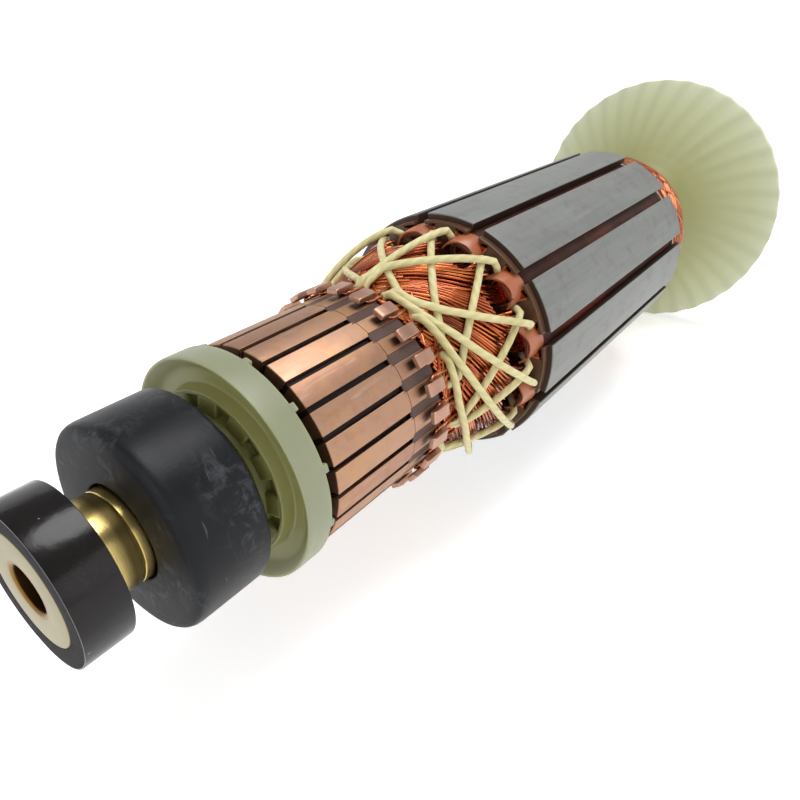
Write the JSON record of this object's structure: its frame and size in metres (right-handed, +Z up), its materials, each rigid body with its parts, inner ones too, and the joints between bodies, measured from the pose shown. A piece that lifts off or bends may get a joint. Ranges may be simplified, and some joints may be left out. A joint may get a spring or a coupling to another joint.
{
  "type": "motor armature",
  "caption": "Motor armature with a copper commutator, laced windings, slotted steel stack, pale green fan, ball bearings and a speed magnet.",
  "frame": {"origin": "centre of the front bearing seat, on the shaft axis", "axes": "+X along the shaft axis, towards the drive end; +Z up with the shaft level"},
  "size_m": [0.2557, 0.0756, 0.0756],
  "materials": {
    "ground_steel": "satin",
    "bearing_steel": "polished",
    "ball_steel": "polished",
    "brass": "polished",
    "magnet_ferrite": "glossy",
    "boot_rubber": "satin",
    "seal_rubber": "matte",
    "cage_nylon": "satin",
    "ring_nylon": "satin",
    "copper": "satin",
    "moulding_compound": "satin",
    "lead_copper": "glossy",
    "lacquered_leads": "glossy",
    "enamelled_wire": "glossy",
    "cotton_cord": "satin",
    "slot_paper": "satin",
    "wedge_fibre": "satin",
    "end_fibre": "satin",
    "lamination_steel": "satin",
    "fan_nylon": "satin"
  },
  "bodies": {
    "front_bearing_outer": {"rubber_boot": "boot_rubber", "front_outer_ring": "bearing_steel", "front_seals": "seal_rubber"},
    "armature": {"shaft": "ground_steel", "pinion": "ground_steel", "magnet_hub": "brass", "magnet_ring": "magnet_ferrite", "spacer_sleeve": "brass", "front_inner_ring": "bearing_steel", "insulating_ring": "ring_nylon", "commutator_bars": "copper", "commutator_moulding": "moulding_compound", "commutator_bush": "ground_steel", "lead_wires": "lead_copper", "lead_neck": "lacquered_leads", "front_windings": "enamelled_wire", "slot_windings": "enamelled_wire", "rear_windings": "enamelled_wire", "lacing_cord": "cotton_cord", "slot_liners": "slot_paper", "slot_wedges": "wedge_fibre", "front_end_disc": "end_fibre", "rear_end_disc": "end_fibre", "lamination_stack": "lamination_steel", "fan": "fan_nylon", "drive_inner_ring": "bearing_steel"},
    "front_bearing_cage": {"front_balls": "ball_steel", "front_cage": "cage_nylon"},
    "drive_bearing_outer": {"drive_outer_ring": "bearing_steel", "drive_seals": "seal_rubber"},
    "drive_bearing_cage": {"drive_balls": "ball_steel", "drive_cage": "cage_nylon"}
  },
  "joints": [
    {"name": "armature_spin", "type": "hinge", "parent": "front_bearing_outer", "child": "armature", "pos_m": [0, 0, 0], "axis": [1, 0, 0], "continuous": true},
    {"name": "front_cage_spin", "type": "hinge", "parent": "front_bearing_outer", "child": "front_bearing_cage", "pos_m": [0, 0, 0], "axis": [1, 0, 0], "continuous": true},
    {"name": "drive_outer_spin", "type": "hinge", "parent": "armature", "child": "drive_bearing_outer", "pos_m": [0.2075, 0, 0], "axis": [1, 0, 0], "continuous": true},
    {"name": "drive_cage_spin", "type": "hinge", "parent": "armature", "child": "drive_bearing_cage", "pos_m": [0.2075, 0, 0], "axis": [1, 0, 0], "continuous": true}
  ],
  "couplings": [
    {"joint": "front_cage_spin", "follows": "armature_spin", "ratio": 0.36772},
    {"joint": "drive_cage_spin", "follows": "drive_outer_spin", "ratio": 0.61906}
  ]
}
